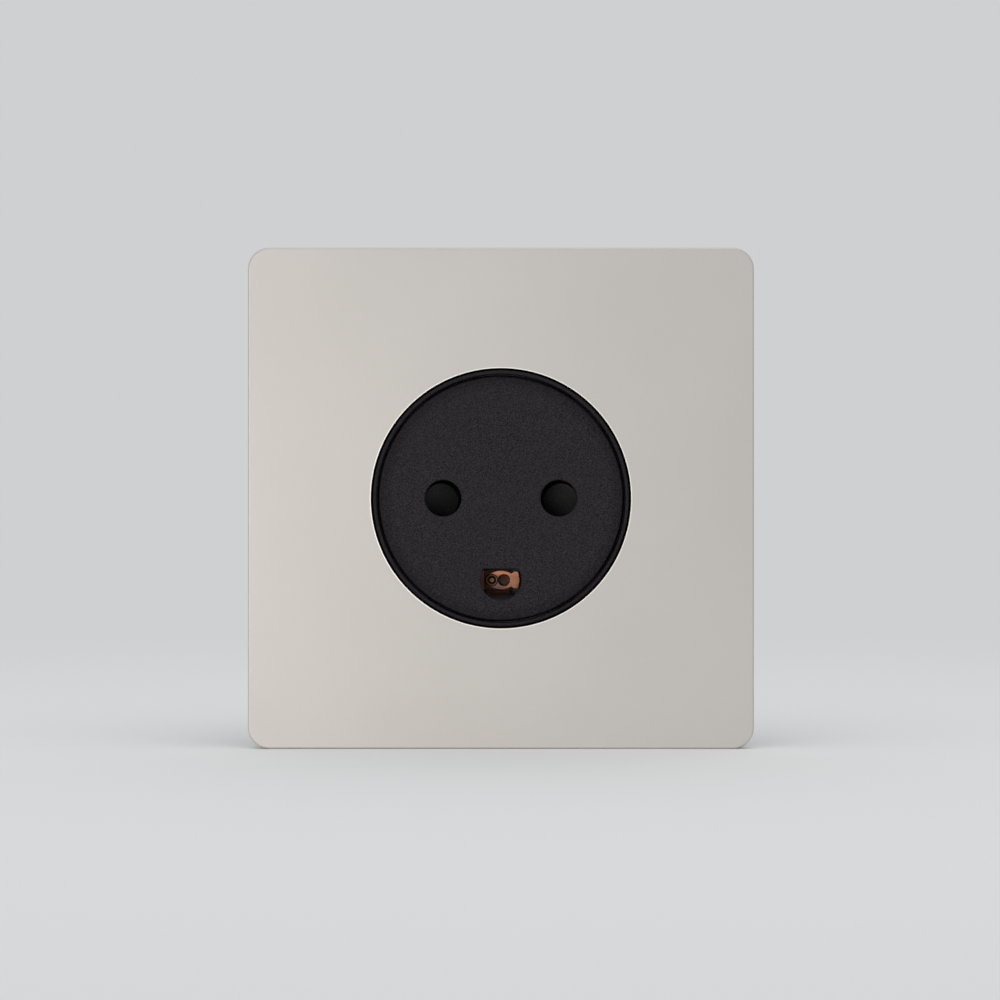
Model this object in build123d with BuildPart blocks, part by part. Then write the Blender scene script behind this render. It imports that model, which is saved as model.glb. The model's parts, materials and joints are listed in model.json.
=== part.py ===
from build123d import *
import os

# A flush wall socket for two round pins and a half-round earth pin, under a metal cover plate.
# Millimetres. X points right, Z up. The wall is the plane y = 0 and the room is on its -Y side.
# A level is a distance in front of the wall, so negative levels lie inside the wall box.

# General fits
SLACK = 0.2                  # clearance of pieces in their chambers
CLOSE_FIT = 0.05             # clearance of pins in their holes
NEAR = 0.01                  # tolerance when edges and faces are picked by place

# Pin pattern
PIN_X = 9.5                  # half of the 19 mm between the two pin axes
PIN_HOLE_RADIUS = 3.0
EARTH_Z = -13.4              # centre of the half-round earth hole
EARTH_RADIUS = 3.36
EARTH_FLAT_Z = -11.6         # flat upper edge of the earth hole

# Cover plate
PLATE_WIDTH = 83.0
PLATE_HEIGHT = 82.2
PLATE_CORNER = 3.5
PLATE_FRONT = 3.5
PLATE_POCKET = 2.0           # depth of the tray behind the skin
PLATE_WALL = 1.5
PLATE_HOLE_RADIUS = 21.3
PLATE_HOLE_EDGE = 0.05
PLATE_EDGE = 0.3
STUD_X = 34.0                # peened studs that hold the plate on its carrier
STUD_Z = 33.5
STUD_RADIUS = 1.0
STUD_LENGTH = 0.95

# Mounting strap and wall box
STRAP_SIZE = 71.0
STRAP_CORNER = 9.0
STRAP_THICK = 1.0
STRAP_OPENING_RADIUS = 20.5
BOX_SCREW_SPACING = 60.0
BOX_SLOT_LENGTH = 7.0
BOX_SLOT_WIDTH = 4.2
COUPLING_SPACING = 24.0      # notches that couple straps side by side
COUPLING_WIDTH = 4.0
COUPLING_DEPTH = 1.5
KEY_WIDTH = 5.8              # keys of the base that stop it from turning in the strap
KEY_RADIUS = 21.4

# Plate carrier
CARRIER_GAP = 0.3            # to the plate's walls
CARRIER_TOP = STRAP_THICK + 1.0
COLLAR_OUTER = 20.97
COLLAR_INNER = 20.4
COLLAR_TOP = 3.9
COLLAR_EDGE = 0.22
HEAD_WINDOW_LENGTH = 13.0    # room for the box screws' heads
HEAD_WINDOW_WIDTH = 10.0
HOOK_X = 20.0
HOOK_Z = 20.0
HOOK_WIDTH = 5.0
HOOK_THICK = 1.2
HOOK_BARB = 0.6
HOOK_TIP = -2.4
HOOK_CATCH = -0.6            # rear end of the barb's outer face
HOOK_FLEX = 0.75             # room in the strap for the hook to bend inward
HOOK_PLAY = 0.15

# Socket front
FACE_RADIUS = 20.05
FACE_FRONT = 3.2
FACE_BACK = 1.0
FACE_EDGE = 0.35
HOLE_EDGE = 0.15
SKIRT_WALL = 1.4
LUG_WIDTH = 6.0              # lugs that lie on the strap
LUG_REACH = 23.0
LUG_THICK = 0.9
BOSS_X = 15.9                # housing screws
BOSS_RADIUS = 2.7
BOSS_BORE = 1.45
GUIDE_RIB_X = 13.0
GUIDE_RIB_THICK = 0.9
GUIDE_RIB_BOTTOM = -3.4
GUIDE_RIB_TOP = 9.6
SHELF_Z = 15.9               # seat of the shutter spring
SHELF_WIDTH = 6.0
SHELF_THICK = 1.4
POST_RADIUS = 1.2
POST_LENGTH = 1.8
SILL_TOP = -15.95            # sill that leads the earth pin into its clip
SILL_BACK = -1.9
SILL_CREST = -0.6            # level where the sill's slope ends
SILL_FOOT = (-16.7, 1.9)     # height and level where the slope starts

# Shutter
PAD_RADIUS = 2.85
PAD_OUTWARD = 0.4            # the pads stand a little outward of and below the holes
PAD_DOWN = 0.3
PAD_TOP = 0.7
PAD_EDGE = 0.25              # rounding of the pads' sloping fronts
RAMP_ANGLE = 36.0            # slope of the pads
RAMP_TURN = 35.0             # the ramps fall down and, by this angle, towards each other
SHUTTER_BACK = -3.9
BAR_THICK = 1.6
BAR_BOTTOM = -2.9
BAR_TOP = 2.3
NECK_WIDTH = 5.2
NECK_TOP = 4.0
NECK_FRONT = 0.4

# Shutter spring
SPRING_RADIUS = 1.75
SPRING_WIRE = 0.45
SPRING_TURNS = 7
SPRING_LEVEL = -1.6

# Shutter guide
GUIDE_FRONT = -4.0
GUIDE_BACK = -5.2
GUIDE_RADIUS = 20.0
GUIDE_PIN_RADIUS = 3.3

# Base
FLANGE_RADIUS = 24.0
FLANGE_THICK = 2.0
CUP_RADIUS = 22.0
CUP_END = -7.0
NEST_RADIUS = 20.3
BLOCK_SIZE = 40.0
BLOCK_CORNER = 3.5
BLOCK_FRONT = -5.0
BASE_REAR = -23.5
BASE_EDGE = 0.8
CONTACT_FLOOR = -15.9
TERMINAL_FLOOR = -20.0
PANEL_BORDER = 2.6           # sunk panel of the rear face
PANEL_DEPTH = 0.5
PANEL_CORNER = 1.2
RIM_WIDTH = 0.9              # raised rims round the openings in the rear face

# Pin contacts, centre lines of the sheet
SHEET = 0.6
CONTACT_WIDTH = 4.4
LEAF_MOUTH = (3.5, -5.7)     # half gap and level
LEAF_GRIP = (2.45, -8.8)
LEAF_BELLY = (3.2, -13.0)
LEAF_HEEL = (2.6, CONTACT_FLOOR + SHEET / 2)
GRIP_BEND = 1.5              # centre line radii of the bends
BELLY_BEND = 3.0
HEEL_BEND = 0.8
TAIL_X = 10.5
TAIL_WIDTH = 4.0
TAIL_END = 15.6
BAND_SHEET = 0.4             # steel clip round the two leaves
BAND_HALF_HEIGHT = 3.25
BAND_INNER_X = 6.85
BAND_OUTER_X = 11.6
BAND_LEVELS = (-9.6, -8.0)

# Earth contact
CLIP_Z = -13.71
CLIP_FLOOR = -8.8            # rear of the earth tail
CLIP_X = -0.5
CLIP_WIDTH = 3.8
CLIP_MOUTH = (2.75, -2.4)    # half gap and level
CLIP_THROAT = (2.6, -5.6)
CLIP_WAIST = (1.95, -6.5)
CLIP_HALF_GAP = 2.0
CLIP_BEND = 0.4              # centre line radius of the clip's sharp bends
CLIP_STRIP_WIDTH = 3.2
CLIP_RIGHT = 1.4
CLIP_LEFT = -3.0
CLIP_END_TAB = (-3.1, -5.4)
EARTH_CHAMBER_WIDTH = 7.4
EARTH_CHAMBER_HEIGHT = 6.2
EARTH_CHAMBER_CORNER = 0.6
STRIP_SHEET = 0.5
STRIP_LEFT = (-2.4, 0.6)     # corner of the strip's rounded left end, from the clip's axis
STRIP_LEFT_END = -2.6
STRIP_SWELL = (-0.2, 1.58)   # widest place
STRIP_NECK = (1.78, 1.08)
FORK_ROOT = (2.2, 1.41)
FORK_TIP = (2.8, 1.43)
FORK_END = 3.1
RIVET_X = -1.54
RIVET_RADIUS = 0.95
RIVET_HEAD_RADIUS = 1.05
RIVET_HEAD = 0.22
RIVET_ROLL = 0.2             # rounding of the rolled head
RIVET_BORE = 0.78
RIVET_RECESS = 0.75          # depth of the groove round the stub
STUB_RADIUS = 0.62           # broken end of the mandrel inside the rivet
STUB_SUNK = 0.15
STUB_DOME = 0.3
RIVET_TAIL_RADIUS = 1.5
RIVET_TAIL = 0.45
SIGHT_HOLE_X = 0.51          # larger hole through the strip and the clip
SIGHT_HOLE_RADIUS = 1.0
SIGHT_HOLE_TAPER = 18.0      # the punched hole narrows towards its rear
EARTH_RISER_X = -5.0
EARTH_TAIL_END = -12.8

# Terminals
CAGE_LENGTH = 7.0
CAGE_WIDTH = 7.0
CAGE_FRONT = -14.2
CAGE_WINDOW_FRONT = CONTACT_FLOOR + SHEET
CAGE_WINDOW_BACK = -18.6
CAGE_WINDOW_WIDTH = 4.6
CAGE_EDGE = 0.5
LIVE_CAGE_Z = 12.1
EARTH_CAGE_X = -9.2
WIRE_LEVEL = -17.2
WIRE_RADIUS = 1.7
WIRE_FUNNEL = 0.7
TERMINAL_SCREW_RADIUS = 1.6
TERMINAL_HEAD_RADIUS = 2.5
TERMINAL_HEAD_SEAT = -21.7
TERMINAL_HEAD = 1.6
TERMINAL_SCREW_TIP = -18.1
TERMINAL_SLOT_TURN = 30.0
ACCESS_RADIUS = 2.9

# Housing screws
HOUSING_SEAT = -12.0
HOUSING_HEAD_RADIUS = 2.5
HOUSING_HEAD = 1.8
HOUSING_SCREW_RADIUS = 1.4
HOUSING_SCREW_TIP = -0.4
HOUSING_SLOT_TURN = 65.0
HOUSING_DOME = 0.6
HOUSING_CLEARANCE = 1.7
CHANNEL_INNER_X = 13.1       # open channels that show the housing screws
CHANNEL_HALF_HEIGHT = 3.4
SCREW_SLOT = 0.8


def level(height):
    """Sketch plane parallel to the wall: local x is X and local y is Z."""
    return Plane.XZ.offset(height)


def upright(x, z=0.0):
    """Sketch plane that stands across the wall: local x is Z and local y is the level."""
    return Plane(origin=(x, 0, z), x_dir=(0, 0, 1), z_dir=(1, 0, 0))


def lying(x, z):
    """Sketch plane that lies across the wall: local x is X and local y is the level."""
    return Plane(origin=(x, 0, z), x_dir=(1, 0, 0), z_dir=(0, 0, -1))


def front_rim(part, radius):
    """The foremost circular edge of this radius."""
    circles = part.edges().filter_by(GeomType.CIRCLE)
    return circles.filter_by(lambda edge: abs(edge.radius - radius) < NEAR).group_by(Axis.Y)[0]


def hole_rims(part, axis, position):
    """The rims of the holes in the flat face that crosses the axis at this position."""
    faces = part.faces().filter_by(axis).filter_by_position(axis, position - NEAR, position + NEAR)
    return faces[0].inner_wires().edges()


# Cover plate: a tray with a round hole and four studs on its back
with BuildPart() as cover_plate:
    with BuildSketch(level(0)):
        RectangleRounded(PLATE_WIDTH, PLATE_HEIGHT, PLATE_CORNER)
    extrude(amount=PLATE_FRONT)
    fillet(cover_plate.faces().sort_by(Axis.Y)[0].edges(), PLATE_EDGE)
    with BuildSketch(level(0)):
        RectangleRounded(
            PLATE_WIDTH - 2 * PLATE_WALL, PLATE_HEIGHT - 2 * PLATE_WALL, PLATE_CORNER - PLATE_WALL
        )
    extrude(amount=PLATE_POCKET, mode=Mode.SUBTRACT)
    with BuildSketch(level(0)):
        Circle(PLATE_HOLE_RADIUS)
    extrude(amount=PLATE_FRONT, mode=Mode.SUBTRACT)
    chamfer(front_rim(cover_plate, PLATE_HOLE_RADIUS), PLATE_HOLE_EDGE)
    with BuildSketch(level(PLATE_POCKET)):
        with GridLocations(2 * STUD_X, 2 * STUD_Z, 2, 2):
            Circle(STUD_RADIUS)
    extrude(amount=-STUD_LENGTH)

# Mounting strap: flat zinc-plated steel
HOOK_SLOT_HEIGHT = HOOK_FLEX + HOOK_THICK + HOOK_PLAY
HOOK_SLOT_Z = HOOK_Z + HOOK_THICK / 2 + HOOK_PLAY - HOOK_SLOT_HEIGHT / 2
with BuildPart() as mounting_strap:
    with BuildSketch(level(0)) as strap_outline:
        Rectangle(STRAP_SIZE, STRAP_SIZE)
        chamfer(strap_outline.vertices(), STRAP_CORNER)
        Circle(STRAP_OPENING_RADIUS, mode=Mode.SUBTRACT)
        Rectangle(KEY_WIDTH + SLACK, 2 * KEY_RADIUS + SLACK, mode=Mode.SUBTRACT)
        with PolarLocations(BOX_SCREW_SPACING / 2, 4):
            SlotOverall(BOX_SLOT_LENGTH, BOX_SLOT_WIDTH, mode=Mode.SUBTRACT)
        with GridLocations(2 * HOOK_X, 2 * HOOK_SLOT_Z, 2, 2):
            Rectangle(HOOK_WIDTH + 3 * SLACK, HOOK_SLOT_HEIGHT, mode=Mode.SUBTRACT)
        with PolarLocations(STRAP_SIZE / 2, 4):
            with GridLocations(0, COUPLING_SPACING, 1, 2):
                Rectangle(2 * COUPLING_DEPTH, COUPLING_WIDTH, mode=Mode.SUBTRACT)
    extrude(amount=STRAP_THICK)

# Plate carrier: moulded frame with the collar, windows for screw heads and four snap hooks
with BuildPart() as plate_carrier:
    with BuildSketch(level(STRAP_THICK)):
        RectangleRounded(
            PLATE_WIDTH - 2 * (PLATE_WALL + CARRIER_GAP),
            PLATE_HEIGHT - 2 * (PLATE_WALL + CARRIER_GAP),
            PLATE_CORNER - PLATE_WALL,
        )
        with PolarLocations(BOX_SCREW_SPACING / 2, 4):
            RectangleRounded(
                HEAD_WINDOW_LENGTH, HEAD_WINDOW_WIDTH, BOX_SLOT_WIDTH / 2, mode=Mode.SUBTRACT
            )
        with GridLocations(2 * STUD_X, 2 * STUD_Z, 2, 2):
            Circle(STUD_RADIUS + CLOSE_FIT, mode=Mode.SUBTRACT)
    extrude(amount=CARRIER_TOP - STRAP_THICK)
    with BuildSketch(level(STRAP_THICK)):
        Circle(COLLAR_OUTER)
    extrude(amount=COLLAR_TOP - STRAP_THICK)
    with BuildSketch(level(STRAP_THICK)):
        Circle(COLLAR_INNER)
    extrude(amount=COLLAR_TOP - STRAP_THICK, mode=Mode.SUBTRACT)
    fillet(front_rim(plate_carrier, COLLAR_OUTER), COLLAR_EDGE)
    fillet(front_rim(plate_carrier, COLLAR_INNER), COLLAR_EDGE)
    with BuildSketch(level(STRAP_THICK)):
        with PolarLocations(LUG_REACH - LUG_WIDTH / 2 + SLACK, 4, start_angle=45):
            Rectangle(LUG_WIDTH, LUG_WIDTH + 2 * SLACK)
    extrude(amount=CARRIER_TOP - STRAP_THICK + SLACK, mode=Mode.SUBTRACT)
    for hook_x in (-HOOK_X, HOOK_X):
        with BuildSketch(upright(hook_x)):
            with BuildLine():
                Polyline(
                    (HOOK_Z - HOOK_THICK / 2, CARRIER_TOP),
                    (HOOK_Z - HOOK_THICK / 2, HOOK_TIP),
                    (HOOK_Z, HOOK_TIP),
                    (HOOK_Z + HOOK_THICK / 2 + HOOK_BARB, HOOK_CATCH),
                    (HOOK_Z + HOOK_THICK / 2 + HOOK_BARB, 0),
                    (HOOK_Z + HOOK_THICK / 2, 0),
                    (HOOK_Z + HOOK_THICK / 2, CARRIER_TOP),
                    close=True,
                )
            make_face()
            mirror(about=Plane.YZ)
        extrude(amount=HOOK_WIDTH / 2, both=True)

# Socket front: face, skirt, lugs, screw bosses and the shutter's guides
with BuildPart() as socket_front:
    with BuildSketch(level(GUIDE_FRONT)):
        Circle(FACE_RADIUS)
    extrude(amount=FACE_FRONT - GUIDE_FRONT)
    fillet(front_rim(socket_front, FACE_RADIUS), FACE_EDGE)
    with BuildSketch(level(GUIDE_FRONT)):
        Circle(FACE_RADIUS - SKIRT_WALL)
    extrude(amount=FACE_BACK - GUIDE_FRONT, mode=Mode.SUBTRACT)
    with BuildSketch(level(STRAP_THICK)):
        with PolarLocations(LUG_REACH - LUG_WIDTH / 2, 4, start_angle=45):
            Rectangle(LUG_WIDTH, LUG_WIDTH)
    extrude(amount=LUG_THICK)
    with BuildSketch(level(GUIDE_FRONT)):
        with GridLocations(2 * BOSS_X, 0, 2, 1):
            Circle(BOSS_RADIUS)
        with Locations((0, (GUIDE_RIB_BOTTOM + GUIDE_RIB_TOP) / 2)):
            with GridLocations(2 * GUIDE_RIB_X + GUIDE_RIB_THICK, 0, 2, 1):
                Rectangle(GUIDE_RIB_THICK, GUIDE_RIB_TOP - GUIDE_RIB_BOTTOM)
        with Locations((0, BAR_BOTTOM - GUIDE_RIB_THICK / 2)):
            Rectangle(NECK_WIDTH * 2, GUIDE_RIB_THICK)
        with Locations((0, SHELF_Z + SHELF_THICK / 2)):
            Rectangle(SHELF_WIDTH, SHELF_THICK)
    extrude(amount=FACE_BACK - GUIDE_FRONT)
    with BuildSketch(Plane.XY.offset(SHELF_Z)):
        with Locations((0, -SPRING_LEVEL)):
            Circle(POST_RADIUS)
    extrude(amount=-POST_LENGTH)
    with BuildSketch(level(GUIDE_FRONT)):
        with GridLocations(2 * BOSS_X, 0, 2, 1):
            Circle(BOSS_BORE)
    extrude(amount=FACE_BACK - GUIDE_FRONT, mode=Mode.SUBTRACT)
    with BuildSketch(level(FACE_FRONT)):
        with GridLocations(2 * PIN_X, 0, 2, 1):
            Circle(PIN_HOLE_RADIUS)
        with Locations((0, EARTH_Z)):
            Circle(EARTH_RADIUS)
        with Locations((0, EARTH_FLAT_Z + EARTH_RADIUS / 2)):
            Rectangle(2 * EARTH_RADIUS, EARTH_RADIUS, mode=Mode.SUBTRACT)
    extrude(amount=FACE_BACK - FACE_FRONT, mode=Mode.SUBTRACT)
    chamfer(hole_rims(socket_front, Axis.Y, -FACE_FRONT), HOLE_EDGE)
    with BuildSketch(upright(0)):
        with BuildLine():
            Polyline(
                (SKIRT_WALL / 2 - FACE_RADIUS, SILL_BACK),
                (SILL_TOP, SILL_BACK),
                (SILL_TOP, SILL_CREST),
                SILL_FOOT,
                (SKIRT_WALL / 2 - FACE_RADIUS, SILL_FOOT[1]),
                close=True,
            )
        make_face()
    extrude(amount=EARTH_RADIUS, both=True)

# Shutter: two ramped pads on one bar, with a neck that takes the spring
PAD_X = PIN_X + PAD_OUTWARD
PAD_Z = -PAD_DOWN
ramp_fall = Vector(-1, 0, 0).rotate(Axis.Y, -90 + RAMP_TURN)
ramp_high = Vector(PAD_X, -PAD_TOP, PAD_Z) - ramp_fall * PAD_RADIUS
ramp_side = ramp_fall.cross(Vector(0, 1, 0))
ramp_plane = Plane(ramp_high, z_dir=Vector(0, -1, 0).rotate(Axis((0, 0, 0), ramp_side), RAMP_ANGLE))
with BuildPart() as shutter_pad:
    with BuildSketch(level(SHUTTER_BACK)):
        with Locations((PAD_X, PAD_Z)):
            Circle(PAD_RADIUS)
    extrude(amount=PAD_TOP - SHUTTER_BACK)
    split(bisect_by=ramp_plane, keep=Keep.BOTTOM)
    fillet(shutter_pad.faces().sort_by(Axis.Y)[0].edges(), PAD_EDGE)
with BuildPart() as pin_room:
    with BuildSketch(level(SHUTTER_BACK)):
        with Locations((PAD_X, PAD_Z)):
            Circle(PAD_RADIUS + 3 * SLACK)
    extrude(amount=PAD_TOP - SHUTTER_BACK)
    split(bisect_by=ramp_plane, keep=Keep.TOP)
with BuildPart() as shutter:
    with BuildSketch(level(SHUTTER_BACK)):
        with Locations((PAD_X / 2, (BAR_BOTTOM + BAR_TOP) / 2)):
            Rectangle(PAD_X, BAR_TOP - BAR_BOTTOM)
    extrude(amount=BAR_THICK)
    add(pin_room.part, mode=Mode.SUBTRACT)
    add(shutter_pad.part)
    mirror(about=Plane.YZ)
    with BuildSketch(level(SHUTTER_BACK)):
        with Locations((0, NECK_TOP / 2)):
            Rectangle(NECK_WIDTH, NECK_TOP)
    extrude(amount=NECK_FRONT - SHUTTER_BACK)
    with BuildSketch(Plane.XY.offset(NECK_TOP)):
        with Locations((0, -SPRING_LEVEL)):
            Circle(POST_RADIUS)
    extrude(amount=POST_LENGTH)

# Shutter spring: a coil between the neck and the shelf
SPRING_LENGTH = SHELF_Z - NECK_TOP - SPRING_WIRE
spring_foot = (0, -SPRING_LEVEL, NECK_TOP + SPRING_WIRE / 2)
with BuildPart() as shutter_spring:
    with BuildLine() as coil:
        Helix(SPRING_LENGTH / SPRING_TURNS, SPRING_LENGTH, SPRING_RADIUS, center=spring_foot)
    with BuildSketch(Plane(coil.line @ 0, z_dir=coil.line % 0)):
        Circle(SPRING_WIRE / 2)
    sweep(is_frenet=True)

# Shutter guide: the plate clamped behind the front's skirt, with passages for the pins
with BuildPart() as shutter_guide:
    with BuildSketch(level(GUIDE_BACK)):
        Circle(GUIDE_RADIUS)
        with GridLocations(2 * BOSS_X, 0, 2, 1):
            Circle(HOUSING_CLEARANCE, mode=Mode.SUBTRACT)
        with GridLocations(2 * PIN_X, 0, 2, 1):
            Circle(GUIDE_PIN_RADIUS, mode=Mode.SUBTRACT)
        with Locations((0, CLIP_Z)):
            RectangleRounded(
                EARTH_CHAMBER_WIDTH, EARTH_CHAMBER_HEIGHT, EARTH_CHAMBER_CORNER, mode=Mode.SUBTRACT
            )
    extrude(amount=GUIDE_FRONT - GUIDE_BACK)

# Pin contacts: two bowed leaves, a heel and a tail to the terminal, in one strip
leaf_half = [LEAF_MOUTH, LEAF_GRIP, LEAF_BELLY, LEAF_HEEL]
leaf_bends = [GRIP_BEND, BELLY_BEND, HEEL_BEND]
leaf_points = leaf_half + [(-height, depth) for height, depth in reversed(leaf_half)]
with BuildPart() as neutral_contact:
    with BuildSketch(upright(PIN_X)):
        with BuildLine():
            FilletPolyline(*leaf_points, radius=leaf_bends + leaf_bends[::-1])
        trace(line_width=SHEET)
    extrude(amount=CONTACT_WIDTH / 2, both=True)
    with BuildSketch(level(CONTACT_FLOOR)):
        with Locations((TAIL_X, TAIL_END / 2)):
            Rectangle(TAIL_WIDTH, TAIL_END)
    extrude(amount=SHEET)
with BuildPart() as live_contact:
    mirror(neutral_contact.part, about=Plane.YZ)

# Steel clips round the pin contacts
with BuildPart() as neutral_contact_spring:
    with BuildSketch(level(BAND_LEVELS[0])):
        with BuildLine():
            FilletPolyline(
                (BAND_OUTER_X, BAND_HALF_HEIGHT),
                (BAND_INNER_X, BAND_HALF_HEIGHT),
                (BAND_INNER_X, -BAND_HALF_HEIGHT),
                (BAND_OUTER_X, -BAND_HALF_HEIGHT),
                radius=SHEET,
            )
        trace(line_width=BAND_SHEET)
    extrude(amount=BAND_LEVELS[1] - BAND_LEVELS[0])
with BuildPart() as live_contact_spring:
    mirror(neutral_contact_spring.part, about=Plane.YZ)

# Earth tail: leads from under the clip back to the earth terminal
TAIL_TOP = CLIP_FLOOR + SHEET
CLIP_TOP = TAIL_TOP + SHEET
STRIP_TOP = CLIP_TOP + STRIP_SHEET
with BuildPart() as earth_tail:
    with BuildSketch(lying(0, CLIP_Z)):
        with BuildLine():
            FilletPolyline(
                (CLIP_RIGHT, TAIL_TOP - SHEET / 2),
                (EARTH_RISER_X, TAIL_TOP - SHEET / 2),
                (EARTH_RISER_X, CONTACT_FLOOR + SHEET / 2),
                (EARTH_TAIL_END, CONTACT_FLOOR + SHEET / 2),
                radius=HEEL_BEND,
            )
        trace(line_width=SHEET)
    extrude(amount=CLIP_STRIP_WIDTH / 2, both=True)
    with BuildSketch(level(CLIP_FLOOR)):
        with Locations((RIVET_X, CLIP_Z)):
            Circle(RIVET_RADIUS + CLOSE_FIT)
    extrude(amount=SHEET, mode=Mode.SUBTRACT)

# Earth contact: a clip with an upper and a lower leaf and one end bent forward
clip_half = [CLIP_MOUTH, CLIP_THROAT, CLIP_WAIST, (CLIP_HALF_GAP, CLIP_TOP - SHEET / 2)]
clip_bends = [GRIP_BEND, GRIP_BEND, CLIP_BEND]
clip_points = clip_half + [(-height, depth) for height, depth in reversed(clip_half)]
with BuildPart() as earth_contact:
    with BuildSketch(upright(CLIP_X, CLIP_Z)):
        with BuildLine():
            FilletPolyline(*clip_points, radius=clip_bends + clip_bends[::-1])
        trace(line_width=SHEET)
    extrude(amount=CLIP_WIDTH / 2, both=True)
    with BuildSketch(lying(0, CLIP_Z)):
        with BuildLine():
            FilletPolyline(
                (CLIP_RIGHT, CLIP_TOP - SHEET / 2),
                (CLIP_LEFT, CLIP_TOP - SHEET / 2),
                CLIP_END_TAB,
                radius=CLIP_BEND,
            )
        trace(line_width=SHEET)
    extrude(amount=CLIP_STRIP_WIDTH / 2, both=True)
    with BuildSketch(level(TAIL_TOP)):
        with Locations((RIVET_X, CLIP_Z)):
            Circle(RIVET_RADIUS + CLOSE_FIT)
        with Locations((SIGHT_HOLE_X, CLIP_Z)):
            Circle(SIGHT_HOLE_RADIUS)
    extrude(amount=SHEET, mode=Mode.SUBTRACT)

# Earth strip: a swelling body with two holes, a narrow neck and a forked end
with BuildPart() as earth_strip:
    with BuildSketch(Plane((0, -CLIP_TOP, CLIP_Z), x_dir=(1, 0, 0), z_dir=(0, -1, 0))):
        with BuildLine():
            upper = ThreePointArc(STRIP_LEFT, STRIP_SWELL, STRIP_NECK)
            fork = Polyline(STRIP_NECK, FORK_ROOT, FORK_TIP)
            mirror([upper, fork], about=Plane.XZ)
            ThreePointArc(FORK_TIP, (FORK_END, 0), (FORK_TIP[0], -FORK_TIP[1]))
            ThreePointArc(STRIP_LEFT, (STRIP_LEFT_END, 0), (STRIP_LEFT[0], -STRIP_LEFT[1]))
        make_face()
        with Locations((RIVET_X, 0)):
            Circle(RIVET_RADIUS + CLOSE_FIT, mode=Mode.SUBTRACT)
    extrude(amount=STRIP_SHEET)
    with BuildSketch(level(STRIP_TOP)):
        with Locations((SIGHT_HOLE_X, CLIP_Z)):
            Circle(SIGHT_HOLE_RADIUS)
    extrude(amount=-STRIP_SHEET, taper=SIGHT_HOLE_TAPER, mode=Mode.SUBTRACT)

# Earth rivet: a blind rivet, rolled over at the front round the stub of its mandrel
with BuildPart() as earth_rivet:
    with BuildSketch(level(CLIP_FLOOR)):
        with Locations((RIVET_X, CLIP_Z)):
            Circle(RIVET_TAIL_RADIUS)
    extrude(amount=-RIVET_TAIL)
    with BuildSketch(level(CLIP_FLOOR)):
        with Locations((RIVET_X, CLIP_Z)):
            Circle(RIVET_RADIUS)
    extrude(amount=STRIP_TOP - CLIP_FLOOR)
    with BuildSketch(level(STRIP_TOP)):
        with Locations((RIVET_X, CLIP_Z)):
            Circle(RIVET_HEAD_RADIUS)
    extrude(amount=RIVET_HEAD)
    fillet(front_rim(earth_rivet, RIVET_HEAD_RADIUS), RIVET_ROLL)
    with BuildSketch(level(STRIP_TOP + RIVET_HEAD)):
        with Locations((RIVET_X, CLIP_Z)):
            Circle(RIVET_BORE)
            Circle(STUB_RADIUS, mode=Mode.SUBTRACT)
    extrude(amount=-RIVET_RECESS, mode=Mode.SUBTRACT)
    with BuildSketch(level(STRIP_TOP + RIVET_HEAD)):
        with Locations((RIVET_X, CLIP_Z)):
            Circle(STUB_RADIUS)
    extrude(amount=-STUB_SUNK, mode=Mode.SUBTRACT)
    fillet(front_rim(earth_rivet, STUB_RADIUS), STUB_DOME)


def clamp_cage(profile_plane, screw_x, screw_z):
    """Brass cage: a rectangular ring round the tail, with the screw's hole in its rear wall."""
    with BuildPart() as cage:
        with BuildSketch(profile_plane):
            with Locations((0, (CAGE_FRONT + TERMINAL_FLOOR) / 2)):
                RectangleRounded(CAGE_WIDTH, CAGE_FRONT - TERMINAL_FLOOR, CAGE_EDGE)
            with Locations((0, (CAGE_WINDOW_FRONT + CAGE_WINDOW_BACK) / 2)):
                Rectangle(
                    CAGE_WINDOW_WIDTH, CAGE_WINDOW_FRONT - CAGE_WINDOW_BACK, mode=Mode.SUBTRACT
                )
        extrude(amount=CAGE_LENGTH / 2, both=True)
        with BuildSketch(level(TERMINAL_FLOOR)):
            with Locations((screw_x, screw_z)):
                Circle(TERMINAL_SCREW_RADIUS + CLOSE_FIT)
        extrude(amount=CAGE_WINDOW_BACK - TERMINAL_FLOOR, mode=Mode.SUBTRACT)
    return cage


live_terminal = clamp_cage(lying(-TAIL_X, LIVE_CAGE_Z), -TAIL_X, LIVE_CAGE_Z)
neutral_terminal = clamp_cage(lying(TAIL_X, LIVE_CAGE_Z), TAIL_X, LIVE_CAGE_Z)
earth_terminal = clamp_cage(upright(EARTH_CAGE_X, CLIP_Z), EARTH_CAGE_X, CLIP_Z)
TERMINAL_PLACES = [(-TAIL_X, LIVE_CAGE_Z), (TAIL_X, LIVE_CAGE_Z), (EARTH_CAGE_X, CLIP_Z)]

# Terminal screws, backed out for wiring
with BuildPart() as terminal_screws:
    with BuildSketch(level(TERMINAL_HEAD_SEAT)):
        with Locations(*TERMINAL_PLACES):
            Circle(TERMINAL_SCREW_RADIUS)
    extrude(amount=TERMINAL_SCREW_TIP - TERMINAL_HEAD_SEAT)
    with BuildSketch(level(TERMINAL_HEAD_SEAT)):
        with Locations(*TERMINAL_PLACES):
            Circle(TERMINAL_HEAD_RADIUS)
    extrude(amount=-TERMINAL_HEAD)
    with BuildSketch(level(TERMINAL_HEAD_SEAT - TERMINAL_HEAD)):
        with Locations(*TERMINAL_PLACES):
            Rectangle(2 * TERMINAL_HEAD_RADIUS, SCREW_SLOT, rotation=TERMINAL_SLOT_TURN)
    extrude(amount=TERMINAL_HEAD / 2, mode=Mode.SUBTRACT)

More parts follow.
